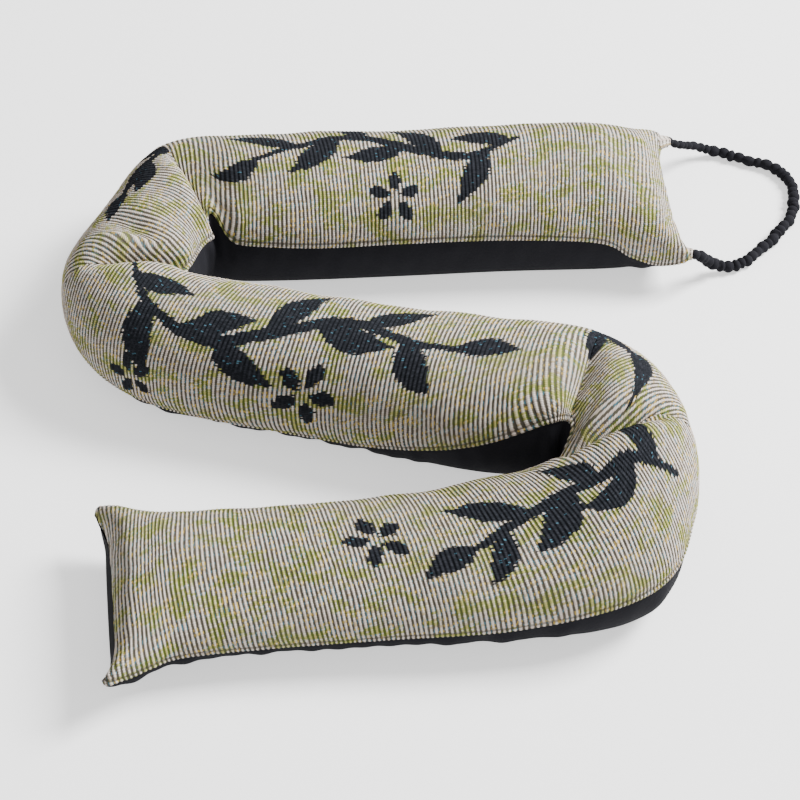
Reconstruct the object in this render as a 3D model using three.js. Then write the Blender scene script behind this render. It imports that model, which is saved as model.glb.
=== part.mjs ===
// Draught excluder: a long filled cloth tube lying in an S, with a ruched hanging loop at one end.
// Millimetres, +Z up. The underside lies flat on Z = 0.
import * as THREE from 'three';

// Seams, where the front panel's turned edge is sewn on to the back panel
const PANEL_GAP = 0.3;            // between the two panels
const LIP_RISE = 1.2;             // how far the turned edge stands proud
const LIP_WIDTH = 6;              // from the seam to the foot of the turned edge

// Hanging loop: a gathered cloth tube, its gathers close together
const LOOP_DIAMETER = 5.6;
const LOOP_GATHERS = 48;
const GATHER_RISE = 0.35;         // above and below the mean radius
const LOOP_SIDES = 8;
const STEPS_PER_GATHER = 3;

// Mesh density of the two panels
const FRONT_STEPS = 16;           // along the front panel's arc, between its turned edges
const BACK_STEPS = 12;            // along the back panel's arc
const CHORD_STEPS = 6;            // across the tube, from seam to seam
const RING_SPACING = 11;          // along the straight legs, and less in the bends
const BEND_EMPHASIS = 1.3;        // how much denser the rings get where the tube turns
const SQUARENESS = 2.1;           // of the section: 2 is an ellipse, more is boxier

// The tube from the loop's end to the free end, a row for each section. x and y are the section's
// centre in plan and heading is the way the tube runs there (degrees, 0 along +X). The section is
// width wide at the height middle, reaches up to top, and goes below under the widest point, where
// the floor flattens it. roll is how far the left-hand seam stands above the widest point (degrees
// round the section). hollow draws the middle of the section along the tube from its two sides.
const SECTIONS = [
  { x: 150, y: 143, heading: 184, width: 103, top: 27, middle: 24, below: 3, roll: 0, hollow: 3 },
  { x: 145, y: 142, heading: 184, width: 98, top: 37, middle: 24, below: 15, roll: -18, hollow: 3 },
  { x: 133, y: 140, heading: 186, width: 89, top: 50, middle: 26, below: 28, roll: -23, hollow: 1 },
  { x: 104, y: 138, heading: 187, width: 82, top: 60, middle: 27, below: 34, roll: 2, hollow: 0 },
  { x: 58, y: 135, heading: 187, width: 80, top: 61, middle: 28, below: 35, roll: 6, hollow: 0 },
  { x: 8, y: 131, heading: 186, width: 79, top: 61, middle: 28, below: 35, roll: 7, hollow: 0 },
  { x: -37, y: 128, heading: 187, width: 79, top: 62, middle: 28, below: 35, roll: 6, hollow: 0 },
  { x: -74, y: 126, heading: 189, width: 77, top: 62, middle: 28, below: 35, roll: 9, hollow: 0 },
  { x: -100, y: 124, heading: 204, width: 72, top: 60, middle: 28, below: 34, roll: 12, hollow: 0 },
  { x: -115, y: 102, heading: 239, width: 61, top: 62, middle: 29, below: 33, roll: 16, hollow: 0 },
  { x: -120, y: 76, heading: 246, width: 61, top: 63, middle: 30, below: 33, roll: 20, hollow: 0 },
  { x: -125, y: 54, heading: 272, width: 63, top: 62, middle: 30, below: 33, roll: 23, hollow: 0 },
  { x: -113, y: 30, heading: 315, width: 61, top: 61, middle: 29, below: 33, roll: 27, hollow: 0 },
  { x: -85, y: 17, heading: 337, width: 68, top: 60, middle: 28, below: 32, roll: 28, hollow: 0 },
  { x: -37, y: 4, heading: 343, width: 69, top: 60, middle: 28, below: 32, roll: 27, hollow: 0 },
  { x: 8, y: -8, heading: 343, width: 72, top: 60, middle: 28, below: 32, roll: 19, hollow: 0 },
  { x: 53, y: -18, heading: 343, width: 77, top: 61, middle: 28, below: 32, roll: -4, hollow: 0 },
  { x: 88, y: -23, heading: 337, width: 73, top: 61, middle: 28, below: 33, roll: -26, hollow: 0 },
  { x: 106, y: -35, heading: 310, width: 62, top: 59, middle: 28, below: 33, roll: -28, hollow: 0 },
  { x: 112, y: -55, heading: 281, width: 58, top: 58, middle: 29, below: 33, roll: -14, hollow: 0 },
  { x: 109, y: -87, heading: 240, width: 65, top: 59, middle: 28, below: 33, roll: 2, hollow: 0 },
  { x: 93, y: -113, heading: 212, width: 80, top: 56, middle: 26, below: 31, roll: 7, hollow: 0 },
  { x: 52, y: -120, heading: 194, width: 80, top: 50, middle: 23, below: 28, roll: -4, hollow: 0 },
  { x: -2, y: -125, heading: 188, width: 74, top: 44, middle: 21, below: 25, roll: -8, hollow: 0 },
  { x: -52, y: -129, heading: 187, width: 73, top: 42, middle: 20, below: 24, roll: -10, hollow: 0 },
  { x: -89, y: -133, heading: 187, width: 78, top: 41, middle: 20, below: 22, roll: -7, hollow: 0 },
  { x: -112, y: -139, heading: 187, width: 93, top: 33, middle: 22, below: 12, roll: -3, hollow: -2 },
  { x: -122, y: -141, heading: 187, width: 105, top: 27, middle: 24, below: 3, roll: 0, hollow: -4 },
];

// Creases across the top of the tube where it kinks, a row for each. A crease runs length at angle
// (degrees in plan) from its inner end x, y. It lets the cloth down by the share depth of its
// height over the seams there, fading to its outer end, and is width to either side.
const CREASES = [
  { x: -89, y: 97, angle: 117, length: 60, depth: 0.45, width: 7 },
  { x: -98, y: 79, angle: 172, length: 44, depth: 0.12, width: 12 },
  { x: -95, y: 72, angle: 206, length: 60, depth: 0.45, width: 8 },
  { x: 85, y: -56, angle: 76, length: 64, depth: 0.28, width: 11 },
  { x: 86, y: -61, angle: 15, length: 62, depth: 0.5, width: 8 },
];

// Centre line of the hanging loop, from the far corner of the end round to the near one
const LOOP_ROUTE = [
  [148.2, 190.5, 24], [152, 191.5, 22.6], [157, 195.5, 18], [163.5, 202, 12.5], [171, 207, 7.5],
  [178, 209, 4.2], [185, 207, 3.2], [192.5, 203, 3.2], [200, 199.5, 3.2], [207.5, 195.5, 3.2],
  [213.5, 189.5, 3.2], [217, 181, 3.2], [217.5, 172, 3.2], [216.5, 163, 3.2], [214.5, 154, 3.2],
  [210.5, 145.5, 3.2], [205, 137, 3.2], [198.5, 128, 3.2], [191.5, 119.5, 3.2], [184, 112.5, 3.2],
  [176, 109, 3.6], [169, 107, 7], [164, 102.5, 13.5], [159.6, 97.6, 20.2], [155, 95.4, 23.4],
];

const FRONT_COLOUR = 0xb9b196;
const BACK_COLOUR = 0x24252b;
const LOOP_COLOUR = 0x1d1e24;

const { degToRad, clamp, smoothstep } = THREE.MathUtils;

// Catmull-Rom value of a table's column at a place t, in rows
function columnAt(rows, column, t) {
  const last = rows.length - 1;
  const i = clamp(Math.floor(t), 0, last - 1);
  const f = t - i;
  const before = rows[Math.max(i - 1, 0)][column];
  const start = rows[i][column];
  const end = rows[i + 1][column];
  const after = rows[Math.min(i + 2, last)][column];
  return 0.5 * (2 * start + (end - before) * f
    + (2 * before - 5 * start + 4 * end - after) * f * f
    + (3 * start - before - 3 * end + after) * f * f * f);
}

function sectionAt(t) {
  const section = {};
  for (const column of Object.keys(SECTIONS[0])) {
    section[column] = columnAt(SECTIONS, column, t);
  }
  return section;
}

// Places along the table, in rows, for the rings of the mesh: closer together where the tube bends
function ringPlaces() {
  const fine = 40;
  const count = (SECTIONS.length - 1) * fine;
  const lengths = [0];
  for (let i = 1; i <= count; i += 1) {
    const a = sectionAt((i - 1) / fine);
    const b = sectionAt(i / fine);
    const turn = Math.abs(degToRad(b.heading - a.heading)) * b.width / 2;
    lengths.push(lengths[i - 1] + Math.hypot(b.x - a.x, b.y - a.y) + BEND_EMPHASIS * turn);
  }
  const steps = Math.round(lengths[count] / RING_SPACING);
  const places = [];
  let i = 0;
  for (let k = 0; k <= steps; k += 1) {
    const target = (lengths[count] * k) / steps;
    while (i < count - 1 && lengths[i + 1] < target) i += 1;
    const f = (target - lengths[i]) / (lengths[i + 1] - lengths[i]);
    places.push((i + f) / fine);
  }
  return places;
}

// Share of its height over the seams that the creases take from the cloth at a point in plan
function creaseDepth(x, y) {
  let deepest = 0;
  for (const crease of CREASES) {
    const cos = Math.cos(degToRad(crease.angle));
    const sin = Math.sin(degToRad(crease.angle));
    const along = (x - crease.x) * cos + (y - crease.y) * sin;
    const aside = (y - crease.y) * cos - (x - crease.x) * sin;
    const inner = smoothstep(along, -crease.width, 0);
    const outer = 1 - smoothstep(along, 0.3 * crease.length, crease.length);
    const depth = crease.depth * inner * outer * Math.exp(-((aside / crease.width) ** 2));
    deepest = Math.max(deepest, depth);
  }
  return deepest;
}

// Where a point of a section lies, across the tube from its centre line and up from the floor
function pointAt(section, across, up) {
  const heading = degToRad(section.heading);
  const along = section.hollow * (1 - (2 * across / section.width) ** 2);
  return new THREE.Vector3(
    section.x - Math.sin(heading) * across + Math.cos(heading) * along,
    section.y + Math.cos(heading) * across + Math.sin(heading) * along,
    Math.max(up, 0),
  );
}

// Point of the tube's skin at an angle round the section: 0 at its left-hand side, 90 on top
function skinOffset(section, angle, rise = 0) {
  const cos = Math.cos(degToRad(angle));
  const sin = Math.sin(degToRad(angle));
  const power = 2 / SQUARENESS;
  const half = sin > 0 ? section.top - section.middle : section.below;
  const across = Math.sign(cos) * Math.abs(cos) ** power * (section.width / 2 + rise);
  const up = section.middle + Math.sign(sin) * Math.abs(sin) ** power * (half + rise);
  return new THREE.Vector2(across, up);
}

// Angles from one seam over the panel to the other, with the rise of the cloth at each
function panelStops(steps, section, lip) {
  const stops = [{ turn: 0, rise: 0 }];
  const half = (section.top - section.middle + section.below) / 2;
  const girth = Math.PI * (section.width / 2 + half);
  const foot = lip ? 360 * LIP_WIDTH / girth : 0;
  if (lip) {
    stops.push({ turn: 0.25 * foot, rise: LIP_RISE }, { turn: 0.8 * foot, rise: LIP_RISE });
  }
  for (let i = lip ? 0 : 1; i <= (lip ? steps : steps - 1); i += 1) {
    stops.push({ turn: foot + (180 - 2 * foot) * i / steps, rise: 0 });
  }
  if (lip) {
    stops.push({ turn: 180 - 0.8 * foot, rise: LIP_RISE }, { turn: 180 - 0.25 * foot, rise: LIP_RISE });
  }
  stops.push({ turn: 180, rise: 0 });
  return stops;
}

// Closed outline of one panel's half of the filled body at a section: its cloth from seam to seam,
// then straight back across the tube
function panelOutline(section, upper) {
  const startAngle = section.roll + (upper ? 0 : 180);
  const seamShift = (upper ? 0.5 : -0.5) * PANEL_GAP;
  const flat = panelStops(upper ? FRONT_STEPS : BACK_STEPS, section, upper)
    .map(({ turn, rise }) => skinOffset(section, startAngle + turn, rise));
  const clothEnd = flat.length - 1;
  flat[0].y += seamShift;
  flat[clothEnd].y += seamShift;
  for (let i = 1; i < CHORD_STEPS; i += 1) {
    flat.push(flat[clothEnd].clone().lerp(flat[0], i / CHORD_STEPS));
  }
  const chordSlope = (flat[clothEnd].y - flat[0].y) / (flat[clothEnd].x - flat[0].x);
  return flat.map(({ x, y }, i) => {
    const point = pointAt(section, x, y);
    if (upper && i < clothEnd) {
      const chord = flat[0].y + chordSlope * (x - flat[0].x);
      point.z -= Math.max(y - chord, 0) * creaseDepth(point.x, point.y);
    }
    return point;
  });
}

function panel(sections, upper) {
  const outlines = sections.map((section) => panelOutline(section, upper));
  const count = outlines[0].length;
  return loft(outlines, panelCap(count - CHORD_STEPS, count), !upper);
}

// Triangles across a panel's outline, laddered between its cloth and its chord
function panelCap(clothEnd, count) {
  const faces = [];
  let cloth = 0;
  let chord = count;
  while (cloth < clothEnd - 1 || chord > clothEnd + 1) {
    const clothShare = cloth / clothEnd;
    const chordShare = (count - chord) / (count - clothEnd);
    if (chord === clothEnd + 1 || (cloth < clothEnd - 1 && clothShare < chordShare)) {
      faces.push([cloth, cloth + 1, chord]);
      cloth += 1;
    } else {
      if (cloth > 0) faces.push([cloth, chord - 1, chord % count]);
      chord -= 1;
    }
  }
  faces.push([clothEnd - 1, clothEnd, clothEnd + 1]);
  return faces;
}

// Closed solid through a row of like outlines, with the cap's triangles over each end. mirrored
// splits each side face along its other diagonal, so that two panels meet face to face.
function loft(outlines, cap, mirrored = false) {
  const count = outlines[0].length;
  const last = outlines.length - 1;
  const positions = outlines.flatMap((outline) => outline.flatMap((point) => point.toArray()));
  const indices = [];
  for (let ring = 0; ring < last; ring += 1) {
    for (let i = 0; i < count; i += 1) {
      const a = ring * count + i;
      const b = ring * count + (i + 1) % count;
      const split = mirrored
        ? [a, b, b + count, a, b + count, a + count]
        : [a, b, a + count, b, b + count, a + count];
      indices.push(...split);
    }
  }
  for (const [a, b, c] of cap) {
    indices.push(c, b, a, last * count + a, last * count + b, last * count + c);
  }
  const geometry = new THREE.BufferGeometry();
  geometry.setAttribute('position', new THREE.Float32BufferAttribute(positions, 3));
  geometry.setIndex(indices);
  geometry.computeVertexNormals();
  return geometry;
}

function clothMesh(name, geometry, color, roughness) {
  const mesh = new THREE.Mesh(
    geometry,
    new THREE.MeshStandardMaterial({ color, roughness, metalness: 0 }),
  );
  mesh.name = name;
  return mesh;
}

// The loop's tube swells and narrows once for each gather of its cloth
function hangingLoop() {
  const route = new THREE.CatmullRomCurve3(LOOP_ROUTE.map((point) => new THREE.Vector3(...point)));
  const steps = LOOP_GATHERS * STEPS_PER_GATHER;
  const frames = route.computeFrenetFrames(steps);
  const outlines = [];
  for (let k = 0; k <= steps; k += 1) {
    const centre = route.getPointAt(k / steps);
    const swell = -GATHER_RISE * Math.cos(2 * Math.PI * k / STEPS_PER_GATHER);
    const radius = LOOP_DIAMETER / 2 + swell;
    outlines.push(Array.from({ length: LOOP_SIDES }, (_, i) => {
      const angle = 2 * Math.PI * i / LOOP_SIDES;
      return centre.clone()
        .addScaledVector(frames.normals[k], radius * Math.cos(angle))
        .addScaledVector(frames.binormals[k], radius * Math.sin(angle));
    }));
  }
  const cap = Array.from({ length: LOOP_SIDES - 2 }, (_, i) => [0, i + 1, i + 2]);
  return loft(outlines, cap);
}

const sections = ringPlaces().map(sectionAt);
const excluder = new THREE.Group();
excluder.add(clothMesh('front_panel', panel(sections, true), FRONT_COLOUR, 0.95));
excluder.add(clothMesh('back_panel', panel(sections, false), BACK_COLOUR, 0.85));
excluder.add(clothMesh('hanging_loop', hangingLoop(), LOOP_COLOUR, 0.85));

export default excluder;
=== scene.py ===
"""Draught excluder: a long filled cloth tube lying in an S, with a ruched hanging loop.

The front is a ribbed tapestry with a leafy pattern, lapped and topstitched on to a plain black
back. Sizes in the classes are millimetres; the meshes are in metres.
"""

import logging
import math
from dataclasses import astuple, dataclass, field
from enum import Enum
from typing import Any, Sequence

import bpy
import numpy as np
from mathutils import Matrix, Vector
from numpy.typing import NDArray


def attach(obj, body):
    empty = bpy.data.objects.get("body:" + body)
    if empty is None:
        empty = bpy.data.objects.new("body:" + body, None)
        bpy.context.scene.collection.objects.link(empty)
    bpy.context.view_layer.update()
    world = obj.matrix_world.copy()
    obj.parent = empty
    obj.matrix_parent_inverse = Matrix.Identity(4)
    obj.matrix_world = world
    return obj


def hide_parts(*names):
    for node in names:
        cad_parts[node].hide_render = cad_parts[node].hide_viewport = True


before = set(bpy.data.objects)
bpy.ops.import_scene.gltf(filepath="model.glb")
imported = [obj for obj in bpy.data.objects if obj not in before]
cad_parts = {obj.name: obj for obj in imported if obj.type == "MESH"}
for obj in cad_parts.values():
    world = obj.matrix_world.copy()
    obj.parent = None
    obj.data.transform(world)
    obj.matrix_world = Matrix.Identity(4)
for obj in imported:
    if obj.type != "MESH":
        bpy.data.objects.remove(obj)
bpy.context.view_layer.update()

Array = NDArray[np.float64]
Colour = tuple[float, float, float]
LOG = logging.getLogger("draught_excluder")
METRES = 0.001
BODY = "root"
MATT = 0.06  # specular level of every cloth
FINE = 120  # points of a smooth line from one given point to the next
UNSTITCHED = 40.0  # distance from its edge, in mm, of cloth far from any topstitching
BARE = -6.0  # depth inside the pattern, in mm, of cloth far outside it


class Panel(Enum):
    """The tube's two cloths."""

    FRONT = "front"
    BACK = "back"


class Seam(Enum):
    """The two long seams, by their share of the way across the front cloth."""

    LEFT = 0.0
    RIGHT = 1.0


def smoothstep(value: Array | float, low: float, high: float) -> Array:
    """Smooth rise from 0 at low to 1 at high."""
    t = np.clip((np.asarray(value, float) - low) / (high - low), 0.0, 1.0)
    return t * t * (3.0 - 2.0 * t)


def normalised(vectors: Array) -> Array:
    """The vectors at length one."""
    return vectors / np.maximum(np.linalg.norm(vectors, axis=-1, keepdims=True), 1e-12)


def running(steps: Array) -> Array:
    """Running totals along the last axis, from 0."""
    return np.concatenate([np.zeros(steps.shape[:-1] + (1,)), np.cumsum(steps, axis=-1)], axis=-1)


def spline(table: Array, count: int) -> Array:
    """A smooth curve through a table's rows.

    Args:
        table: Rows of any number of columns.
        count: How many points to return, spread evenly over the rows.

    Returns:
        The points.
    """
    last = len(table) - 1
    place = np.linspace(0.0, last, count)
    i = np.clip(np.floor(place).astype(int), 0, last - 1)
    f = (place - i)[:, None]
    before, start = table[np.maximum(i - 1, 0)], table[i]
    end, after = table[i + 1], table[np.minimum(i + 2, last)]
    return 0.5 * (
        2 * start + (end - before) * f
        + (2 * before - 5 * start + 4 * end - after) * f**2
        + (3 * start - before - 3 * end + after) * f**3
    )


def smooth_line(points: Sequence[Sequence[float]], count: int) -> Array:
    """Evenly spaced points on a smooth curve through the given ones."""
    table = np.array(points, float)
    curve = spline(table, FINE * (len(table) - 1) + 1)
    run = running(np.linalg.norm(np.diff(curve, axis=0), axis=1))
    even = np.linspace(0.0, run[-1], count)
    return np.stack([np.interp(even, run, axis) for axis in curve.T], axis=1)


def ripple(along: Array, across: Array, wave: float, seed: int) -> Array:
    """Uneven soft waves over a cloth, from about -1 to 1.

    Args:
        along: Place along the cloth, in mm.
        across: Place across the cloth, in mm.
        wave: Usual distance between crests, in mm.
        seed: Picks one pattern of waves.

    Returns:
        The height of the waves at each place.
    """
    rng = np.random.default_rng(seed)
    total = np.zeros(np.broadcast(along, across).shape)
    for _ in range(9):
        turn = rng.uniform(0.0, math.pi)
        step = 2.0 * math.pi / (wave * rng.uniform(0.7, 1.7))
        phase = rng.uniform(0.0, 2.0 * math.pi)
        total += np.sin(step * (along * math.cos(turn) + across * math.sin(turn)) + phase)
    return total / 4.5


# --- Meshes -------------------------------------------------------------------------------------


class ClothMesh:
    """Collects grids and tubes of points and makes one mesh of them."""

    def __init__(self) -> None:
        """Starts with no points."""
        self.points: list[Array] = []
        self.faces: list[NDArray[np.int64]] = []
        self.layers: dict[str, list[Array]] = {}
        self.count = 0

    def grid(self, points: Array, round_: bool = False, **layers: Array) -> None:
        """Adds a sheet of four-sided faces.

        Args:
            points: Places as rows by columns by three, in mm.
            round_: True joins the last column to the first.
            **layers: A number for each point, by the attribute's name.
        """
        rows, columns = points.shape[:2]
        ids = self.count + np.arange(rows * columns).reshape(rows, columns)
        right = np.roll(ids, -1, axis=1) if round_ else ids[:, 1:]
        left = ids if round_ else ids[:, :-1]
        quads = np.stack([left[:-1], right[:-1], right[1:], left[1:]], axis=-1)
        self.points.append(points.reshape(-1, 3))
        self.faces.append(quads.reshape(-1, 4))
        for name, values in layers.items():
            self.layers.setdefault(name, []).append(np.broadcast_to(values, (rows, columns)).ravel())
        self.count += rows * columns

    def tube(
        self, line: Array, radius: Array | float, sides: int = 8, taper: float = 0.3, pleats: float = 0.0,
    ) -> None:
        """Adds a round tube along a line, its ends drawn in.

        Args:
            line: Points along the tube, in mm.
            radius: One radius, or one for each point, in mm.
            sides: Faces round the tube.
            taper: Share of the radius that the very ends keep.
            pleats: Share of the radius that seven pleats round the tube stand out by.
        """
        forward = normalised(np.gradient(line, axis=0))
        aside = np.cross(forward, (0.0, 0.0, 1.0))
        aside[np.linalg.norm(aside, axis=1) < 1e-3] = (1.0, 0.0, 0.0)
        aside = normalised(aside)
        above = np.cross(aside, forward)
        size = np.broadcast_to(np.asarray(radius, float), (len(line),)).copy()
        size[0] *= taper
        size[-1] *= taper
        turn = np.linspace(0.0, 2.0 * math.pi, sides, endpoint=False)
        ring = np.cos(turn)[None, :, None] * aside[:, None] + np.sin(turn)[None, :, None] * above[:, None]
        ring = ring * (1.0 + pleats * np.cos(7.0 * turn))[None, :, None]
        run = running(np.linalg.norm(np.diff(line, axis=0), axis=1))
        self.grid(
            line[:, None] + ring * size[:, None, None], round_=True,
            along=run[:, None], across=(turn * float(size.mean()))[None],
            rib=0.38 + 0.14 * np.sin(2.2 * run)[:, None], motif=np.array([[BARE]]),
            inset=np.array([[UNSTITCHED]]),
        )

    def build(self, name: str) -> bpy.types.Object:
        """Makes the object, smooth shaded, and links it to the scene.

        Args:
            name: The piece's name.

        Returns:
            The new object, at the origin.
        """
        points = np.concatenate(self.points) * METRES
        faces = np.concatenate(self.faces)
        mesh = bpy.data.meshes.new(name)
        mesh.vertices.add(len(points))
        mesh.vertices.foreach_set("co", points.astype(np.float32).ravel())
        mesh.loops.add(faces.size)
        mesh.loops.foreach_set("vertex_index", faces.astype(np.int32).ravel())
        mesh.polygons.add(len(faces))
        mesh.polygons.foreach_set("loop_start", np.arange(0, faces.size, 4, dtype=np.int32))
        mesh.update(calc_edges=True)
        mesh.validate()
        mesh.shade_smooth()
        for layer, values in self.layers.items():
            attribute = mesh.attributes.new(layer, "FLOAT", "POINT")
            attribute.data.foreach_set("value", np.concatenate(values).astype(np.float32))
        piece = bpy.data.objects.new(name, mesh)
        bpy.context.scene.collection.objects.link(piece)
        return piece


# --- The tube's shape ---------------------------------------------------------------------------


@dataclass(frozen=True)
class Section:
    """One section of the tube: its place and heading in plan, and its outline.

    It is width wide at the height middle, reaches up to top and goes below under the middle. Roll
    turns its seams round it and lean tilts it. Hollow draws its middle along the tube.
    """

    x: float
    y: float
    heading: float
    width: float
    top: float
    middle: float
    below: float
    roll: float
    hollow: float
    lean: float = 0.0


@dataclass(frozen=True)
class Crease:
    """A trough across the top where the tube kinks, as a line in plan, in mm and degrees.

    Depth is the share of the cloth's height that it takes. The cleft is a narrower, sharper
    trough at its bottom, and the swell is how far the cloth past it puffs up. Skew makes one
    side of the trough steeper, and a low sharpness makes the cleft narrow.
    """

    x: float
    y: float
    angle: float
    length: float
    depth: float
    width: float
    cleft: float = 0.0
    swell: float = 0.0
    skew: float = 0.0
    sharpness: float = 2.5

    def from_line(self, x: Array, y: Array) -> tuple[Array, Array]:
        """Places in plan as distances along the line and aside from it."""
        cos, sin = math.cos(math.radians(self.angle)), math.sin(math.radians(self.angle))
        return (x - self.x) * cos + (y - self.y) * sin, (y - self.y) * cos - (x - self.x) * sin

    def fade(self, along: Array) -> Array:
        """1 along the crease, falling to 0 past its two ends."""
        inner = smoothstep(along, -self.width, 0.0)
        return inner * (1.0 - smoothstep(along, 0.3 * self.length, self.length))

    def share(self, x: Array, y: Array) -> Array:
        """Share of the cloth's height that the trough takes at places in plan."""
        along, aside = self.from_line(x, y)
        width = self.width * (1.0 - self.skew * np.sign(aside))
        return self.depth * self.fade(along) * np.exp(-((aside / width) ** 2))

    def relief(self, x: Array, y: Array) -> Array:
        """Height of the sharp cleft, below 0, and of the swell past it, in mm."""
        along, aside = self.from_line(x, y)
        away = np.abs(aside)
        puff = np.where(aside * self.swell > 0.0, abs(self.swell), 0.0)
        puff = puff * np.square(away / self.width) * np.exp(2.0 - 2.0 * away / self.width)
        return self.fade(along) * (puff - self.cleft * np.exp(-away / self.sharpness))


@dataclass(frozen=True)
class SeamLift:
    """Where a seam is drawn up the tube's side, at a place along it, in mm and degrees."""

    seam: Seam
    place: float
    turn: float
    width: float

    def at(self, stations: Array) -> Array:
        """Degrees that the seam is drawn up, at places along the tube."""
        return self.turn * np.exp(-(((stations - self.place) / self.width) ** 2))


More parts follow.
